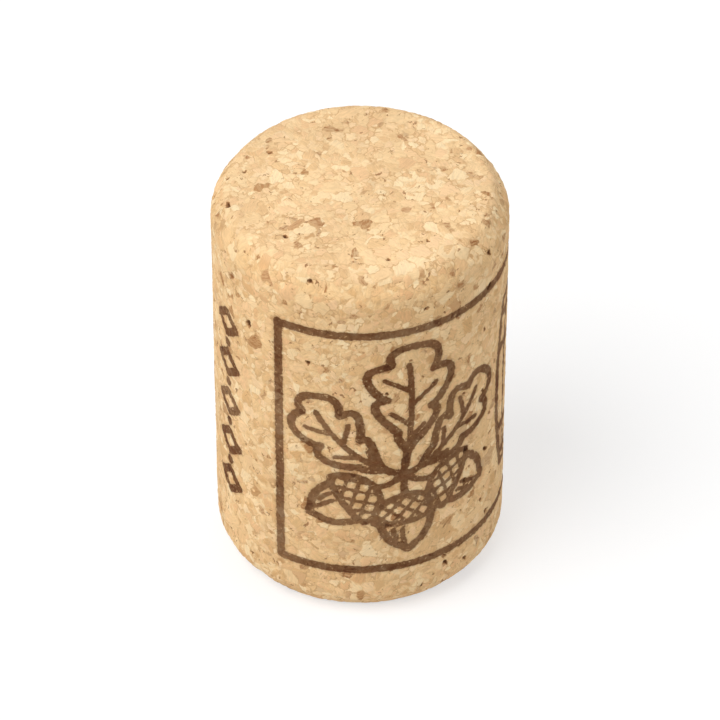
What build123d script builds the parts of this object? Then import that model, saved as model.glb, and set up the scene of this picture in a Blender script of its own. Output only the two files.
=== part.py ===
from build123d import *

import os

os.makedirs("parts", exist_ok=True)

# Driving dimensions, in millimetres.
diameter = 24.0  # straight wall, uncompressed, for an 18.5 mm bottle neck
length = 36.0  # from end face to end face
bevel_length = 1.8  # rim bevel, measured along the axis
bevel_depth = 1.3  # rim bevel, measured in from the wall
wall_ease = 2.0  # sanded radius where the wall turns into the bevel
face_ease = 1.2  # sanded radius where the bevel turns into the end face

# Sizes that follow from them.
wall_radius = diameter / 2
face_radius = wall_radius - bevel_depth

# The stopper stands on its lower end face, with the origin at that face's centre and +Z along the axis.
# It is one piece of bound cork granulate, ground to a straight cylinder and bevelled at both ends.
with BuildPart() as cork:
    # Half of the section, from the axis out to the wall.
    with BuildSketch(Plane.XZ) as section:
        with BuildLine():
            Polyline(
                (0, 0),
                (face_radius, 0),
                (wall_radius, bevel_length),
                (wall_radius, length - bevel_length),
                (face_radius, length),
                (0, length),
                close=True,
            )
        make_face()
        # Tumbling takes off every sharp edge: tightly round the end faces, more widely round the wall.
        fillet(section.vertices().group_by(Axis.X)[1], radius=face_ease)
        fillet(section.vertices().group_by(Axis.X)[-1], radius=wall_ease)
    revolve(axis=Axis.Z)

cork.part.label = "cork"
export_step(cork.part, "parts/cork.step")
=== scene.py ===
import math

import bpy
import numpy as np
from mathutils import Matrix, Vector
from mathutils.geometry import delaunay_2d_cdt


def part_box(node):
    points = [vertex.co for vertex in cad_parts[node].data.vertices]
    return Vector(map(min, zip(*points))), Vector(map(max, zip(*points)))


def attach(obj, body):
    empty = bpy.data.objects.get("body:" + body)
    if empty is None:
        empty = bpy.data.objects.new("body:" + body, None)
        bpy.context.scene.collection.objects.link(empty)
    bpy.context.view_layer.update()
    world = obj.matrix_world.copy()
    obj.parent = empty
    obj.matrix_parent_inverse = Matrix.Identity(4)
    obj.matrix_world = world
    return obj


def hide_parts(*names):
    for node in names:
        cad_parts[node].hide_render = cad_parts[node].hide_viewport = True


# A stopper of fine cork granulate, standing on its end, with a ruled panel printed round its wall.
# The cork is worked out in millimetres and goes into the scene in metres.
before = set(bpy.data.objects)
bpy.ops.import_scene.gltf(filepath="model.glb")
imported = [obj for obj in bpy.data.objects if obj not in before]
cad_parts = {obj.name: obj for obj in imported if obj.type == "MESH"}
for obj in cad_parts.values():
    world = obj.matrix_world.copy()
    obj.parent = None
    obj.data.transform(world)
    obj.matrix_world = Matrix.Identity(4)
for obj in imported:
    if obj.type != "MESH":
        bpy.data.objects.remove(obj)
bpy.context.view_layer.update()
mm = 0.001
corkLow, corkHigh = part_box("cork")
corkRadius = (corkHigh.x - corkLow.x) / 2 / mm
corkLength = (corkHigh.z - corkLow.z) / mm
girth = 2 * math.pi * corkRadius
print("frame loaded, cork", round(2 * corkRadius, 2), "by", round(corkLength, 2), "mm")


# Skin of the cork, one closed mesh

corkShape = {
    "bevelLength": 1.8,
    "bevelDepth": 1.3,
    "wallEase": 2.0,  # radius between the wall and the bevel
    "faceEase": 1.2,  # radius between the bevel and the end face
    "wallStep": 0.19,  # spacing of the mesh on the wall
    "discStep": 0.215,  # and on the end faces
}

# On its map the wall lies below, with the two end faces side by side above it
skinMap = {
    "wallHigh": 0.64,
    "discWide": 0.24,  # half the room that an end face takes
    "discHigh": 0.175,
    "lowerDisc": 0.25,  # where the middle of each lies across the map
    "upperDisc": 0.75,
}

panel = {
    "leftEdge": -33.0,  # where its left rule stands, in degrees from the front
    "width": 53.6,  # round the wall
    "height": 25.5,
    "rule": 0.8,  # line widths, this and the next five
    "outline": 0.74,
    "vein": 0.46,
    "rib": 0.54,
    "stalk": 0.6,
    "stem": 0.7,
    "markGap": 6.3,  # from the left rule to the row of lozenges beside it
}
panelStart = math.radians(panel["leftEdge"] - 90)


def easedCorner(before, corner, after, radius, steps=10):
    toBefore = (before - corner).normalized()
    toAfter = (after - corner).normalized()
    half = toBefore.angle(toAfter) / 2
    centre = corner + (toBefore + toAfter).normalized() * (radius / math.sin(half))
    first = corner + toBefore * (radius / math.tan(half)) - centre
    last = corner + toAfter * (radius / math.tan(half)) - centre
    turn = math.pi - 2 * half
    arc = []
    for i in range(steps + 1):
        t = i / steps
        arc.append(centre + (first * math.sin((1 - t) * turn) + last * math.sin(t * turn)) / math.sin(turn))
    return arc


def corkSection(shape):
    # From the edge of the lower flat face, round the bevel and up the wall to the upper flat face
    middle = Vector((corkRadius, corkLength / 2))
    bevelTop = Vector((corkRadius, shape["bevelLength"]))
    bevelFoot = Vector((corkRadius - shape["bevelDepth"], 0))
    lower = easedCorner(Vector((0, 0)), bevelFoot, bevelTop, shape["faceEase"])
    lower += easedCorner(bevelFoot, bevelTop, middle, shape["wallEase"])
    lower = np.array([*lower, middle])
    upper = lower[-2::-1] * (1, -1) + (0, corkLength)
    path = np.vstack([lower, upper])
    along = np.concatenate([[0], np.cumsum(np.hypot(*np.diff(path, axis=0).T))])
    even = np.linspace(0, along[-1], round(along[-1] / shape["wallStep"]) + 1)
    return np.column_stack([np.interp(even, along, path[:, 0]), np.interp(even, along, path[:, 1])])


def wallGrid(section, columns):
    # The map's seam runs down the bare strip beside the panel
    seam = panelStart - 2 * panel["markGap"] / corkRadius
    angles = seam + np.arange(columns) * 2 * math.pi / columns
    wall = np.empty((len(section), columns, 3))
    wall[..., 0] = section[:, :1] * np.cos(angles)
    wall[..., 1] = section[:, :1] * np.sin(angles)
    wall[..., 2] = section[:, 1:]
    return wall


def wallFaces(rows, columns):
    faces, spots = [], []
    rowHigh = skinMap["wallHigh"] / (rows - 1)
    for i in range(rows - 1):
        low, high = i * rowHigh, (i + 1) * rowHigh
        for j in range(columns):
            k = (j + 1) % columns
            faces.append((i * columns + j, i * columns + k, (i + 1) * columns + k, (i + 1) * columns + j))
            left, right = j / columns, (j + 1) / columns
            spots += [(left, low), (right, low), (right, high), (left, high)]
    return faces, spots


def endDisc(rim, step):
    # Even triangles inside the rim, which keeps its own points
    radius = np.hypot(*rim[0])
    rimGap = step * 0.6
    rowStep = step * math.sqrt(3) / 2
    inside = []
    count = int(radius / rowStep) + 1
    for row in range(-count, count + 1):
        for column in range(-count, count + 1):
            x = (column + row % 2 / 2) * step
            y = row * rowStep
            if math.hypot(x, y) < radius - rimGap:
                inside.append((x, y))
    points = [Vector(p) for p in [*map(tuple, rim), *inside]]
    places, _, triangles, *_ = delaunay_2d_cdt(points, [], [], 0, 1e-7)
    return np.array(places), triangles


def buildSkin(shape):
    section = corkSection(shape)
    rows = len(section)
    columns = round(girth / shape["wallStep"])
    wall = wallGrid(section, columns)
    points = [wall.reshape(-1, 3)]
    faces, spots = wallFaces(rows, columns)  # spots are where the faces' corners lie on the map
    discMiddle = (1 + skinMap["wallHigh"]) / 2
    ends = ((0, 0.0, skinMap["lowerDisc"]), (rows - 1, corkLength, skinMap["upperDisc"]))
    for rimRow, height, across in ends:
        places, triangles = endDisc(wall[rimRow, :, :2], shape["discStep"])
        firstNew = sum(len(p) for p in points) - columns
        inner = places[columns:]
        points.append(np.column_stack([inner, np.full(len(inner), height)]))
        for triangle in triangles:
            corners = triangle if height else triangle[::-1]
            faces.append([rimRow * columns + c if c < columns else firstNew + c for c in corners])
            for x, y in places[list(corners)] / section[0, 0]:
                spots.append((across + x * skinMap["discWide"], discMiddle + y * skinMap["discHigh"]))
    points = np.vstack(points)
    mesh = bpy.data.meshes.new("corkSkin")
    mesh.from_pydata((points * mm).tolist(), [], faces)
    mesh.uv_layers.new(name="OFBake").data.foreach_set("uv", np.array(spots, np.float32).ravel())
    mesh.polygons.foreach_set("use_smooth", [True] * len(faces))
    place = mesh.attributes.new("skinPlace", "FLOAT_VECTOR", "POINT")
    place.data.foreach_set("vector", points.astype(np.float32).ravel())
    cork = bpy.data.objects.new("corkBody", mesh)
    bpy.context.scene.collection.objects.link(cork)
    return cork, points


cork, skinPoints = buildSkin(corkShape)
print("skin built,", len(skinPoints), "points")


# Print. Each point of the skin holds how deep in the ink it lies, in millimetres, less than 0 outside.

class InkSheet:
    blank = -2.0  # depth well away from any ink
    halo = 0.6  # how far outside a shape its depth is worked out
    tiny = 1e-9  # so that a line with no length divides nothing by 0

    def __init__(self, points):
        radius = np.hypot(points[:, 0], points[:, 1])
        self.wall = np.flatnonzero(radius > corkRadius - corkShape["bevelDepth"] / 2)
        angle = np.arctan2(points[self.wall, 1], points[self.wall, 0]) - panelStart
        x = np.mod(angle, 2 * math.pi) * corkRadius
        self.x = np.where(x > (girth + panel["width"]) / 2, x - girth, x)  # from the panel's left rule
        self.y = points[self.wall, 2] - (corkLength - panel["height"]) / 2  # from its lower rule
        self.depth = np.full(len(self.wall), self.blank)

    def near(self, line, reach):
        left, low = line.min(0) - reach
        right, high = line.max(0) + reach
        return np.flatnonzero((self.x > left) & (self.x < right) & (self.y > low) & (self.y < high))

    def gap(self, at, line):
        x, y = self.x[at], self.y[at]
        nearest = np.full(len(at), -self.blank)
        for (ax, ay), (bx, by) in zip(line[:-1], line[1:]):
            dx, dy = bx - ax, by - ay
            along = np.clip(((x - ax) * dx + (y - ay) * dy) / (dx * dx + dy * dy + self.tiny), 0, 1)
            nearest = np.minimum(nearest, np.hypot(x - ax - along * dx, y - ay - along * dy))
        return nearest

    def within(self, at, outline):
        x, y = self.x[at], self.y[at]
        inside = np.zeros(len(at), bool)
        closed = np.vstack([outline, outline[:1]])
        for (ax, ay), (bx, by) in zip(closed[:-1], closed[1:]):
            if ay != by:
                inside ^= ((ay > y) != (by > y)) & (x < ax + (y - ay) * (bx - ax) / (by - ay))
        return np.where(inside, 1, -1) * self.gap(at, closed)

    def stroke(self, line, width):
        line = np.array(line, float)
        at = self.near(line, width / 2 + self.halo)
        self.depth[at] = np.maximum(self.depth[at], width / 2 - self.gap(at, line))

    def fill(self, outline):
        outline = np.array(outline, float)
        at = self.near(outline, self.halo)
        self.depth[at] = np.maximum(self.depth[at], self.within(at, outline))

    def clear(self, outline):
        outline = np.array(outline, float)
        at = self.near(outline, self.halo)
        self.depth[at] = np.minimum(self.depth[at], -self.within(at, outline))

    def hatch(self, outline, slant, pitch, width):
        # Crossed lines either side of the slant, kept inside the outline
        outline = np.array(outline, float)
        at = self.near(outline, self.halo)
        lines = np.full(len(at), self.blank)
        for turn in (slant + math.pi / 4, slant - math.pi / 4):
            step = (self.x[at] * math.cos(turn) + self.y[at] * math.sin(turn)) / pitch
            lines = np.maximum(lines, width / 2 - np.abs(step - np.round(step)) * pitch)
        self.depth[at] = np.maximum(self.depth[at], np.minimum(lines, self.within(at, outline)))


def bend(first, last, bow, count=24):
    # A line that bows to the left on its way
    first, last = np.array(first, float), np.array(last, float)
    across = np.array((first[1] - last[1], last[0] - first[0]))
    t = np.linspace(0, 1, count)[:, None]
    return first + (last - first) * t + across * bow * 4 * t * (1 - t)


leaf = {
    "points": 91,  # along its rib
    "ribPoints": 78,  # of which this many are drawn
    "bladeFrom": 0.13,  # share of its length that is bare stalk
    "widest": 1.35,  # more brings its widest place nearer the tip
    "blunt": 0.72,  # less makes both its ends blunter
    "lobes": 3.4,  # on each side
    "lobeShift": 0.42,  # of one side's lobes against the other's
    "lobeDepth": 0.46,  # share of its half width
    "lobeBlunt": 0.62,
    "lobeLean": 0.4,  # towards the tip
    "veinFoot": 9,  # points from a lobe back to where its vein leaves the rib
    "veinOut": 0.6,  # how far a vein goes out, and on towards the tip, in half widths
    "veinOn": 0.12,
    "veinsFrom": 0.2,  # share of its length at the first vein and at the last one
    "veinsTo": 0.85,
}


def oakLeaf(sheet, foot, tip, bow, width):
    count = leaf["points"]
    rib = bend(foot, tip, bow, count)
    way = np.gradient(rib, axis=0)
    way /= np.hypot(*way.T)[:, None]
    side = np.column_stack([-way[:, 1], way[:, 0]])
    t = np.linspace(0, 1, count)
    blade = ((t - leaf["bladeFrom"]) / (1 - leaf["bladeFrom"])).clip(0)
    spread = width / 2 * np.sin(math.pi * blade ** leaf["widest"]).clip(0) ** leaf["blunt"]
    edges, veins = [], []
    for sign, shift in ((1, 0.0), (-1, leaf["lobeShift"])):
        lobe = np.abs(np.sin(math.pi * (leaf["lobes"] * t + shift))) ** leaf["lobeBlunt"]
        half = spread * (1 - leaf["lobeDepth"] * (1 - lobe))
        lean = leaf["lobeLean"] * half * lobe * t
        edges.append(rib + sign * side * half[:, None] + way * lean[:, None])
        for number in range(math.ceil(leaf["lobes"])):
            peak = round((number + 0.5 - shift) / leaf["lobes"] * (count - 1))
            if leaf["veinsFrom"] < peak / count < leaf["veinsTo"]:
                reach = (sign * side[peak] * leaf["veinOut"] + way[peak] * leaf["veinOn"]) * half[peak]
                veins.append((rib[peak - leaf["veinFoot"]], rib[peak] + reach))
    outline = np.vstack([edges[0], edges[1][::-1], edges[0][:1]])
    sheet.clear(outline)
    for vein in veins:
        sheet.stroke(vein, panel["vein"])
    sheet.stroke(rib[:leaf["ribPoints"]], panel["rib"])
    sheet.stroke(outline, panel["outline"])


# All but the numbers of points are shares of an acorn's size, along it from the neck or across it
nut = {
    "middle": 0.4,
    "long": 0.56,
    "wide": 0.37,
    "nib": 0.07,
    "nibTurn": 0.16,  # how far round the tip the nib goes, in radians
    "streaks": ((-0.2, 0.6, 0.78), (-0.07, 0.62, 0.9)),  # across, first and last along
    "streakBow": -0.03,
    "streakTaper": 0.8,
    "points": 41,
}
cup = {
    "long": 0.42,
    "wide": 0.46,
    "lip": 0.09,
    "hatchPitch": 0.165,
    "hatchLine": 0.055,
    "outline": 0.8,  # of the other outlines' width
}


def acorn(sheet, neck, slant, size):
    # slant is the way from its neck to its tip
    way = np.array((math.cos(slant), math.sin(slant)))
    side = np.array((-way[1], way[0]))

    def at(along, across):
        return np.array(neck) + (way * along + side * across) * size

    turns = np.linspace(-math.pi / 2, math.pi / 2, nut["points"])
    shell = []
    for turn in turns:
        nib = nut["nib"] * math.exp(-(turn / nut["nibTurn"]) ** 2)
        shell.append(at(nut["middle"] + nut["long"] * math.cos(turn) + nib, nut["wide"] * math.sin(turn)))
    bowl = [at(cup["long"] - cup["long"] * math.cos(turn), cup["wide"] * math.sin(turn)) for turn in turns]
    lip = [at(cup["long"] + cup["lip"] * math.cos(turn), cup["wide"] * math.sin(turn)) for turn in turns]
    bowl += lip[::-1]
    sheet.clear(shell)
    sheet.stroke(shell, panel["outline"])
    for across, start, end in nut["streaks"]:
        streak = bend(at(start, across), at(end, across * nut["streakTaper"]), nut["streakBow"])
        sheet.stroke(streak, panel["vein"])
    sheet.clear(bowl)
    sheet.hatch(bowl, slant, size * cup["hatchPitch"], size * cup["hatchLine"])
    sheet.stroke([*bowl, bowl[0]], panel["outline"] * cup["outline"])


# Places in the sprig are taken from its middle and from the panel's lower rule
sprig = {
    "inset": 10.4,  # from a side rule to its middle
    "acorns": ((0.2, 7.9, -86, 6.0), (-2.2, 9.1, -150, 6.2), (2.6, 8.9, -27, 6.0)),  # neck, slant, size
    "fork": (0.1, 10.2),
    "stalks": ((-2.3, 9.2, 0.1), (2.7, 9.0, -0.1)),  # end and bow
    "stem": ((0.1, 10.6), (0.2, 8.0)),
    "leaves": (
        ((0.2, 11.0), (0.3, 23.8), -0.04, 7.4),  # foot, tip, bow, width
        ((-0.1, 10.3), (-7.8, 18.6), 0.1, 5.9),
        ((0.3, 10.1), (8.0, 17.6), -0.1, 5.8),
    ),
}


def oakSprig(sheet, middle, mirror=1):
    # Three leaves over three acorns
    def at(x, y):
        return middle + mirror * x, y

    for x, y, slant, size in sprig["acorns"]:
        acorn(sheet, at(x, y), math.radians(slant if mirror > 0 else 180 - slant), size)
    for x, y, bow in sprig["stalks"]:
        sheet.stroke(bend(at(*sprig["fork"]), at(x, y), bow * mirror), panel["stalk"])
    sheet.stroke([at(*place) for place in sprig["stem"]], panel["stem"])
    for foot, tip, bow, width in sprig["leaves"]:
        oakLeaf(sheet, at(*foot), at(*tip), bow * mirror, width)


barrel = {
    "foot": 3.9,  # above the panel's lower rule
    "width": 11.0,
    "height": 17.7,
    "taper": 0.24,  # share by which its ends are narrower
    "sag": 0.6,  # of its hoops and its foot
    "headRise": 0.8,  # of its head, as a share of that
    "staves": (-0.66, -0.24, 0.22, 0.64),  # from -1 at its left side to 1 at its right one
    "hoops": (0.07, 0.25, 0.75, 0.93),  # from 0 at its foot to 1 at its head
    "hoopHalf": 0.022,
}


def oakBarrel(sheet, middle):
    def at(rise, share):
        half = barrel["width"] / 2 * (1 - barrel["taper"] * (2 * rise - 1) ** 2)
        sag = barrel["sag"] * (1 - share * share) * (1 if rise < 1 else -barrel["headRise"])
        return middle + half * share, barrel["foot"] + barrel["height"] * rise - sag

    rises = np.linspace(0, 1, 25)
    shares = np.linspace(-1, 1, 21)
    outline = [at(v, -1) for v in rises] + [at(1, s) for s in shares]
    outline += [at(v, 1) for v in rises[::-1]] + [at(0, s) for s in shares[::-1]]
    sheet.clear(outline)
    for share in barrel["staves"]:
        sheet.stroke([at(v, share) for v in rises], panel["vein"])
    sheet.stroke(outline, panel["outline"])
    for hoop in barrel["hoops"]:
        low, high = hoop - barrel["hoopHalf"], hoop + barrel["hoopHalf"]
        sheet.fill([at(low, s) for s in shares] + [at(high, s) for s in shares[::-1]])


marks = {
    "count": 5,
    "pitch": 4.3,
    "halfWide": 1.5,
    "halfHigh": 1.15,
    "dot": 0.9,
    "dotLine": 0.02,  # length of the short line that makes a dot
}


def markRow(sheet, x):
    # Open lozenges with dots between them, up the bare strip beside the panel
    wide, high, dotHalf = marks["halfWide"], marks["halfHigh"], marks["dotLine"] / 2
    for i in range(marks["count"]):
        y = panel["height"] / 2 + (i - (marks["count"] - 1) / 2) * marks["pitch"]
        lozenge = [(x - wide, y), (x, y - high), (x + wide, y), (x, y + high), (x - wide, y)]
        sheet.stroke(lozenge, panel["outline"])
        if i < marks["count"] - 1:
            dot = y + marks["pitch"] / 2
            sheet.stroke([(x, dot - dotHalf), (x, dot + dotHalf)], marks["dot"])


def printPanel(mesh, points):
    sheet = InkSheet(points)
    wide, high = panel["width"], panel["height"]
    oakSprig(sheet, sprig["inset"])
    oakBarrel(sheet, wide / 2)
    oakSprig(sheet, wide - sprig["inset"], -1)
    sheet.stroke([(0, 0), (wide, 0), (wide, high), (0, high), (0, 0)], panel["rule"])
    markRow(sheet, -panel["markGap"])
    depth = np.full(len(points), sheet.blank, np.float32)
    depth[sheet.wall] = sheet.depth
    mesh.attributes.new("inkDepth", "FLOAT", "POINT").data.foreach_set("value", depth)


printPanel(cork.data, skinPoints)
print("panel printed")


# Node helpers, for shader and geometry trees alike

def plug(tree, socket, value):
    if isinstance(value, bpy.types.NodeSocket):
        tree.links.new(value, socket)
    else:
        socket.default_value = value


def addNode(tree, kind, inputs=None, **settings):
    made = tree.nodes.new(kind)
    for name, value in settings.items():
        setattr(made, name, value)
    for key, value in (inputs or {}).items():
        plug(tree, made.inputs[key], value)
    return made


def maths(tree, operation, *values):
    # More than two values are taken from left to right
    result = addNode(tree, "ShaderNodeMath", dict(enumerate(values[:2])), operation=operation).outputs[0]
    return maths(tree, operation, result, *values[2:]) if len(values) > 2 else result


def vectorMaths(tree, operation, first, second=(0, 0, 0)):
    made = addNode(tree, "ShaderNodeVectorMath", {0: first}, operation=operation)
    plug(tree, made.inputs["Scale" if operation == "SCALE" else 1], second)
    return made.outputs["Value" if operation in ("DOT_PRODUCT", "LENGTH") else "Vector"]


def between(tree, value, low, high, toLow=0.0, toHigh=1.0, smooth=True):
    inputs = {"Value": value, "From Min": low, "From Max": high, "To Min": toLow, "To Max": toHigh}
    kind = "SMOOTHSTEP" if smooth else "LINEAR"
    return addNode(tree, "ShaderNodeMapRange", inputs, interpolation_type=kind).outputs[0]


def choose(tree, share, first, second):
    # first where share is 0, second where it is 1
    rest = maths(tree, "SUBTRACT", 1.0, share)
    return maths(tree, "ADD", maths(tree, "MULTIPLY", first, rest), maths(tree, "MULTIPLY", second, share))


def cloud(tree, place, size, detail=2.0, roughness=0.5, output=0):
    # Its values lie mostly between 0.3 and 0.7
    inputs = {"Vector": place, "Scale": 1 / size, "Detail": detail, "Roughness": roughness}
    return addNode(tree, "ShaderNodeTexNoise", inputs, noise_dimensions="3D").outputs[output]


def cells(tree, place, size, feature="F1"):
    return addNode(tree, "ShaderNodeTexVoronoi", {"Vector": place, "Scale": 1 / size}, feature=feature)


def split(tree, vector):
    return addNode(tree, "ShaderNodeSeparateXYZ", {0: vector}).outputs


# Granulate. The relief and the colour are worked out from the same granules.

grain = {
    "coarse": 1.25,
    "fine": 0.65,
    "patch": 2.3,  # size of the patches of fine granules
    "patchLevel": 0.47,  # less makes more of the granules fine
    "wander": 1.0,  # how far the granules' edges stray
    "wanderSize": 0.85,
    "layer": 0.6,  # growth layers inside a granule
    "layerSquash": 5.0,
    "poreSpacing": 1.6,
    "poreRadius": 0.36,
    "poreLevel": 0.55,  # less makes more pores
    "fleck": 0.6,
    "mottle": 7.0,
    "seed": 4.0,
}


def grainFields(tree, skinPlace):
    place = vectorMaths(tree, "ADD", skinPlace, (grain["seed"],) * 3)
    stray = cloud(tree, place, grain["wanderSize"], 2.0, 0.6, 1)
    stray = vectorMaths(tree, "SUBTRACT", stray, (0.5, 0.5, 0.5))
    rough = vectorMaths(tree, "ADD", place, vectorMaths(tree, "SCALE", stray, grain["wander"]))
    patches = cloud(tree, place, grain["patch"], 1.0)
    fine = between(tree, patches, grain["patchLevel"], grain["patchLevel"] + 0.01)
    coarseCell = cells(tree, rough, grain["coarse"]).outputs["Color"]
    fineCell = cells(tree, rough, grain["fine"]).outputs["Color"]
    tones = [choose(tree, fine, *pair) for pair in zip(split(tree, coarseCell), split(tree, fineCell))]
    edges = []
    for size in (grain["coarse"], grain["fine"]):
        distance = cells(tree, rough, size, "DISTANCE_TO_EDGE").outputs["Distance"]
        edges.append(maths(tree, "MULTIPLY", distance, size))
    # Each granule's growth layers lie across a way of its own
    way = vectorMaths(tree, "NORMALIZE", vectorMaths(tree, "SUBTRACT", coarseCell, (0.5, 0.5, 0.5)))
    along = maths(tree, "MULTIPLY", vectorMaths(tree, "DOT_PRODUCT", place, way), grain["layerSquash"])
    pores = cells(tree, rough, grain["poreSpacing"])
    chance = split(tree, pores.outputs["Color"])[0]
    poreSize = between(tree, chance, grain["poreLevel"], 1.0, 0.0, grain["poreRadius"], False)
    poreGap = maths(tree, "MULTIPLY", pores.outputs["Distance"], grain["poreSpacing"])
    return {
        "place": place,
        "rough": rough,
        "layered": vectorMaths(tree, "ADD", place, vectorMaths(tree, "SCALE", way, along)),
        "tone": tones[0],
        "hue": tones[1],
        "bark": tones[2],
        "edge": choose(tree, fine, *edges),  # distance to the granule's edge
        "pore": maths(tree, "SUBTRACT", poreSize, poreGap),  # distance inside a pore
    }


def endGap(tree, skinPlace):
    # Distance to the nearer end
    z = split(tree, skinPlace)[2]
    return maths(tree, "MINIMUM", z, maths(tree, "SUBTRACT", corkLength, z))


# Relief, always inward from the turned form

relief = {
    "inset": 0.012,
    "granule": 0.035,
    "seam": 0.045,
    "seamHalf": 0.16,  # from the middle of a seam to its edge
    "pore": 0.3,
    "poreEdge": (-0.04, 0.16),  # distances inside a pore between which its wall goes down
    "wave": 0.05,
    "waveSize": 5.0,
    "ink": 0.02,
    "inkEdge": (-0.1, 0.15),  # and the same for the ink
    "rimWear": 0.16,
    "rimPlace": 0.8,  # share of the bevel's length at which the rim wears most
    "rimFull": 0.2,  # how far from there the wear is at its most
    "rimReach": 1.6,  # and how far it goes
    "chipSize": 1.5,
    "chips": (0.48, 0.72),  # a lower first number makes more of them
}


def wearSkin(cork):
    tree = bpy.data.node_groups.new("corkRelief", "GeometryNodeTree")
    tree.interface.new_socket("Geometry", in_out="INPUT", socket_type="NodeSocketGeometry")
    tree.interface.new_socket("Geometry", in_out="OUTPUT", socket_type="NodeSocketGeometry")
    kind = "GeometryNodeInputNamedAttribute"
    skinPlace = addNode(tree, kind, {"Name": "skinPlace"}, data_type="FLOAT_VECTOR").outputs[0]
    inkDepth = addNode(tree, kind, {"Name": "inkDepth"}, data_type="FLOAT").outputs[0]
    fields = grainFields(tree, skinPlace)
    # Wear peaks where the wall turns into the bevel
    turnAt = corkShape["bevelLength"] * relief["rimPlace"]
    fromTurn = maths(tree, "ABSOLUTE", maths(tree, "SUBTRACT", endGap(tree, skinPlace), turnAt))
    rim = between(tree, fromTurn, relief["rimReach"], relief["rimFull"])
    chips = cloud(tree, fields["place"], relief["chipSize"], 3.0, 0.65)
    sunk = maths(
        tree, "ADD", relief["inset"],
        maths(tree, "MULTIPLY", fields["tone"], relief["granule"]),
        between(tree, fields["edge"], relief["seamHalf"], 0.0, 0.0, relief["seam"]),
        between(tree, fields["pore"], *relief["poreEdge"], 0.0, relief["pore"]),
        maths(tree, "MULTIPLY", cloud(tree, fields["place"], relief["waveSize"], 1.0), relief["wave"]),
        between(tree, inkDepth, *relief["inkEdge"], 0.0, relief["ink"]),
        maths(tree, "MULTIPLY", rim, between(tree, chips, *relief["chips"], 0.0, relief["rimWear"])),
    )
    outward = addNode(tree, "GeometryNodeInputNormal").outputs[0]
    offset = vectorMaths(tree, "SCALE", outward, maths(tree, "MULTIPLY", sunk, -mm))
    entry = addNode(tree, "NodeGroupInput").outputs[0]
    moved = addNode(tree, "GeometryNodeSetPosition", {"Geometry": entry, "Offset": offset}).outputs[0]
    addNode(tree, "NodeGroupOutput", {0: moved})
    modifier = cork.modifiers.new("corkRelief", "NODES")
    modifier.node_group = tree
    worn = bpy.data.meshes.new_from_object(cork.evaluated_get(bpy.context.evaluated_depsgraph_get()))
    cork.modifiers.remove(modifier)
    cork.data = worn


wearSkin(cork)
print("skin worn")


# Finish. Colours are as a picture shows them, from 0 to 255, and a share is how strong each is at most.

finish = {
    "granules": {0.0: (219, 174, 120), 0.25: (233, 192, 138), 0.6: (243, 206, 154), 1.0: (250, 222, 176)},
    "core": (-0.02, 0.13),  # distances from a granule's edge between which its own tone comes in
    "blush": (238, 189, 140),
    "blushShare": 0.6,
    "blushFrom": 0.45,  # less makes more of the granules pink
    "cut": (250, 230, 196),
    "cutShare": 0.14,
    "cutReach": 0.9,  # from the ends
    "bark": (164, 112, 67),
    "barkShare": 0.9,
    "barkAmong": (0.91, 0.98),  # a lower first number makes more of the granules bark
    "seam": (184, 135, 86),
    "seamShare": 0.6,
    "seamHalf": 0.08,
    "seamPatch": 1.1,  # size of the patches in which the seams are dark
    "fleck": (144, 95, 56),
    "fleckShare": 0.8,
    "flecks": (0.64, 0.7),  # a lower first number makes more of them
    # Inside a pore the colour darkens towards its depth: partly the pore's own dark brown dust, partly
    # painted shade in the hollow
    "poreRim": (168, 117, 72),
    "poreRimShare": 0.8,
    "poreRimEdge": (-0.04, 0.03),  # distances inside a pore between which it comes in
    "pore": (88, 53, 28),
    "poreShare": 0.9,
    "poreEdge": (0.02, 0.14),
    "mottle": (0.93, 1.05),  # how dark and how light the large mottling is
    "layer": (0.88, 1.1),  # and the growth layers
    "grit": 0.05,  # height of the fine bumps
    "gritSize": 0.16,
    "seamDip": 0.02,  # how far a seam sinks among them
    "poreDip": 0.08,
    "bump": 0.85,
    "roughness": (0.78, 0.95),
    "gloss": 0.16,
}

ink = {
    "colour": (114, 77, 44),  # what it leaves of the cork's own colour
    "edge": 0.05,  # half the width over which it comes in
    "ragged": 0.08,  # how far its edge strays
    "raggedSize": 0.36,
    "bleed": 0.2,  # how strong the stain round it is
    "bleedReach": 0.3,
    "thin": 0.8,  # how well it covers where it is thinnest
    "thinSize": 0.6,
    "faint": 0.84,  # where the stamp pressed least
    "faintSize": 9.0,
    "missed": 0.45,  # in the small spots that it nearly misses
    "missedSize": 0.3,
    "missedSpots": (0.62, 0.72),  # a lower first number makes more of them
    "pore": 0.55,  # and in a pore
}


def shade(colour):
    made = []
    for value in colour:
        value /= 255
        made.append(value / 12.92 if value < 0.04045 else ((value + 0.055) / 1.055) ** 2.4)
    return (*made, 1.0)


def tint(tree, share, first, second, blend="MIX"):
    made = addNode(tree, "ShaderNodeMix", data_type="RGBA", blend_type=blend)
    plug(tree, made.inputs[0], share)
    plug(tree, made.inputs[6], first)
    plug(tree, made.inputs[7], second)
    return made.outputs[2]


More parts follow.
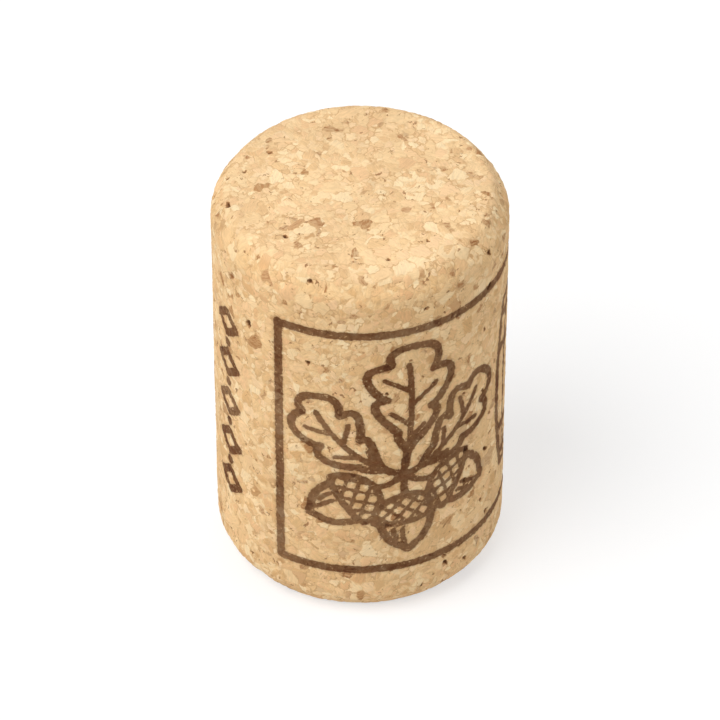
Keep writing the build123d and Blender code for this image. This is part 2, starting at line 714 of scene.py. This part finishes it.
def granuleColour(tree, fields, fromEnd):
    # Tones even out towards a granule's edge, so that neighbours run into each other
    core = between(tree, fields["edge"], *finish["core"])
    ramp = addNode(tree, "ShaderNodeValToRGB", {0: choose(tree, core, 0.5, fields["tone"])})
    stops = ramp.color_ramp.elements
    for i, (spot, colour) in enumerate(finish["granules"].items()):
        stop = stops[i] if i < 2 else stops.new(spot)
        stop.position = spot
        stop.color = shade(colour)
    blush = between(tree, fields["hue"], finish["blushFrom"], 1.0, 0.0, finish["blushShare"], False)
    colour = tint(tree, maths(tree, "MULTIPLY", blush, core), ramp.outputs[0], shade(finish["blush"]))
    # The end faces are cut across the granules, and a little paler
    cut = between(tree, fromEnd, finish["cutReach"], 0.0, 0.0, finish["cutShare"])
    colour = tint(tree, cut, colour, shade(finish["cut"]))
    layers = cloud(tree, fields["layered"], grain["layer"], 2.0, 0.6)
    # Pieces of bark are streaked along their growth layers
    bark = maths(
        tree, "MULTIPLY",
        between(tree, fields["bark"], *finish["barkAmong"]),
        between(tree, core, 0.1, 0.8, 0.3, finish["barkShare"]),
        between(tree, layers, 0.38, 0.62, 0.45, 1.0),
    )
    colour = tint(tree, bark, colour, shade(finish["bark"]))
    mottle = cloud(tree, fields["place"], grain["mottle"], 2.0, 0.6)
    light = maths(
        tree, "MULTIPLY",
        between(tree, mottle, 0.3, 0.7, *finish["mottle"], False),
        between(tree, layers, 0.28, 0.72, *finish["layer"], False),
    )
    return tint(tree, 1.0, colour, light, "MULTIPLY")


def seamsAndPores(tree, fields, colour):
    patches = cloud(tree, fields["place"], finish["seamPatch"], 2.0)
    patches = between(tree, patches, 0.4, 0.65, 0.0, finish["seamShare"])
    flecks = cloud(tree, fields["rough"], grain["fleck"], 3.0, 0.62)
    shares = {
        "seam": maths(tree, "MULTIPLY", between(tree, fields["edge"], finish["seamHalf"], 0.0), patches),
        "fleck": between(tree, flecks, *finish["flecks"], 0.0, finish["fleckShare"]),
        "poreRim": between(tree, fields["pore"], *finish["poreRimEdge"], 0.0, finish["poreRimShare"]),
        # pore darkening is partly the pore's own dust and partly painted shade in the hollow
        "pore": between(tree, fields["pore"], *finish["poreEdge"], 0.0, finish["poreShare"]),
    }
    for name, share in shares.items():
        colour = tint(tree, share, colour, shade(finish[name]))
    return colour


def inkOver(tree, fields, colour, inkDepth):
    place, stain = fields["place"], shade(ink["colour"])
    wobble = cloud(tree, place, ink["raggedSize"], 2.0, 0.6)
    wobble = between(tree, wobble, 0.2, 0.8, -ink["ragged"], ink["ragged"], False)
    depth = maths(tree, "ADD", inkDepth, wobble)
    bleed = between(tree, depth, -ink["bleedReach"], 0.02, 0.0, ink["bleed"])
    colour = tint(tree, bleed, colour, stain, "MULTIPLY")
    patches = cloud(tree, place, ink["thinSize"], 3.0, 0.7)
    pressure = cloud(tree, place, ink["faintSize"], 1.0)
    spots = cloud(tree, place, ink["missedSize"], 2.0, 0.6)
    inked = maths(
        tree, "MULTIPLY",
        between(tree, depth, -ink["edge"], ink["edge"]),
        between(tree, patches, 0.3, 0.72, 1.0, ink["thin"], False),
        between(tree, pressure, 0.35, 0.6, ink["faint"], 1.0, False),
        between(tree, spots, *ink["missedSpots"], 1.0, ink["missed"]),
        between(tree, fields["pore"], *finish["poreEdge"], 1.0, ink["pore"]),
    )
    # It soaks in, so the granules still show through it
    return tint(tree, inked, colour, stain, "MULTIPLY")


def corkFinish():
    material = bpy.data.materials.new("printedCork")
    material.use_nodes = True
    tree = material.node_tree
    tree.nodes.clear()
    skinPlace = addNode(tree, "ShaderNodeAttribute", attribute_name="skinPlace").outputs["Vector"]
    inkDepth = addNode(tree, "ShaderNodeAttribute", attribute_name="inkDepth").outputs["Fac"]
    fields = grainFields(tree, skinPlace)
    colour = granuleColour(tree, fields, endGap(tree, skinPlace))
    colour = seamsAndPores(tree, fields, colour)
    colour = inkOver(tree, fields, colour, inkDepth)
    grit = cloud(tree, fields["place"], finish["gritSize"], 3.0, 0.65)
    height = maths(
        tree, "ADD",
        maths(tree, "MULTIPLY", grit, finish["grit"]),
        between(tree, fields["edge"], 0.0, finish["seamHalf"], -finish["seamDip"], 0.0),
        between(tree, fields["pore"], -0.02, 0.08, 0.0, -finish["poreDip"]),
    )
    bump = addNode(tree, "ShaderNodeBump", {"Height": height, "Strength": finish["bump"], "Distance": mm})
    worn = cloud(tree, fields["place"], 0.6, 2.0)
    surface = addNode(tree, "ShaderNodeBsdfPrincipled", {
        "Base Color": colour,
        "Roughness": between(tree, worn, 0.2, 0.8, *finish["roughness"], False),
        "Specular IOR Level": finish["gloss"],
        "Normal": bump.outputs[0],
    })
    addNode(tree, "ShaderNodeOutputMaterial", {"Surface": surface.outputs[0]})
    return material


cork.data.materials.append(corkFinish())
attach(cork, "root")
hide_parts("cork")
print("cork finished")


# Floor, light and camera. Lengths in metres, turns in degrees.

studio = {
    "floorRadius": 4.0,
    "floorSides": 64,
    "floorDrop": 0.00003,  # keeps it clear of the cork's lower face
    "floorPaint": 0.8,  # as the light finds it
    "floorSeen": 0.46,  # as the eye sees it, with the glow added
    "floorGlow": 0.58,
    "glowFrom": 0.1,  # from here outward the glow rises, to plain white at glowTo
    "glowTo": 0.6,
    "sky": 0.27,
    "key": {"size": 0.9, "reach": 1.0, "azimuth": -58, "elevation": 54, "power": 8.8},
    "fill": {"size": 0.9, "reach": 1.0, "azimuth": 78, "elevation": 30, "power": 1.9},
    "back": {"size": 0.9, "reach": 1.0, "azimuth": 165, "elevation": 60, "power": 1.9},
    "camera": {"lens": 250, "reach": 0.41, "azimuth": 0, "elevation": 42, "height": 0.0176},
}


def placeRound(thing, target, settings):
    # azimuth 0 is in front, on the -Y side, and grows to the right
    turn, lift = math.radians(settings["azimuth"]), math.radians(settings["elevation"])
    away = Vector((math.sin(turn) * math.cos(lift), -math.cos(turn) * math.cos(lift), math.sin(lift)))
    thing.location = target + away * settings["reach"]
    thing.rotation_euler = away.to_track_quat("Z", "Y").to_euler()
    bpy.context.scene.collection.objects.link(thing)


def seenRay(tree):
    # 1 for the eye and for what gloss shows, 0 for the light that the floor and sky give off
    path = addNode(tree, "ShaderNodeLightPath").outputs
    return maths(tree, "MAXIMUM", path["Is Camera Ray"], path["Is Glossy Ray"], path["Is Transmission Ray"])


def floorFinish():
    material = bpy.data.materials.new("paleFloor")
    material.use_nodes = True
    tree = material.node_tree
    tree.nodes.clear()
    # The eye sees a paler floor than the light does, and one that stays white out to its edge
    seen = seenRay(tree)
    away = vectorMaths(tree, "LENGTH", addNode(tree, "ShaderNodeTexCoord").outputs["Object"])
    glow = between(tree, away, studio["glowFrom"], studio["glowTo"], studio["floorGlow"], 1.0)
    paint = addNode(tree, "ShaderNodeBsdfDiffuse", {
        "Color": choose(tree, seen, studio["floorPaint"], studio["floorSeen"]),
    })
    light = addNode(tree, "ShaderNodeEmission", {"Strength": maths(tree, "MULTIPLY", seen, glow)})
    both = addNode(tree, "ShaderNodeAddShader", {0: paint.outputs[0], 1: light.outputs[0]})
    addNode(tree, "ShaderNodeOutputMaterial", {"Surface": both.outputs[0]})
    return material


def studioFloor():
    radius = studio["floorRadius"]
    turns = np.linspace(0, 2 * math.pi, studio["floorSides"], endpoint=False)
    ring = [(math.cos(a) * radius, math.sin(a) * radius, -studio["floorDrop"]) for a in turns]
    mesh = bpy.data.meshes.new("floor")
    mesh.from_pydata(ring, [], [range(len(ring))])
    mesh.materials.append(floorFinish())
    floor = bpy.data.objects.new("floor", mesh)
    bpy.context.scene.collection.objects.link(floor)


def studioLight():
    middle = Vector((0, 0, corkLength / 2 * mm))
    for name in ("key", "fill", "back"):
        light = bpy.data.lights.new(name, "AREA")
        light.shape = "DISK"
        light.size = studio[name]["size"]
        light.energy = studio[name]["power"]
        placeRound(bpy.data.objects.new(name, light), middle, studio[name])
    world = bpy.data.worlds.new("studio")
    bpy.context.scene.world = world
    world.use_nodes = True
    tree = world.node_tree
    tree.nodes.clear()
    sky = addNode(tree, "ShaderNodeBackground", {
        "Color": (1, 1, 1, 1),
        "Strength": choose(tree, seenRay(tree), studio["sky"], 1.0),
    })
    addNode(tree, "ShaderNodeOutputWorld", {"Surface": sky.outputs[0]})


def studioCamera():
    lens = bpy.data.cameras.new("camera")
    lens.lens = studio["camera"]["lens"]
    lens.clip_start = 0.01
    lens.clip_end = 20
    camera = bpy.data.objects.new("camera", lens)
    placeRound(camera, Vector((0, 0, studio["camera"]["height"])), studio["camera"])
    bpy.context.scene.camera = camera
    bpy.context.scene.view_settings.view_transform = "Standard"


studioFloor()
studioLight()
studioCamera()
print("studio set")
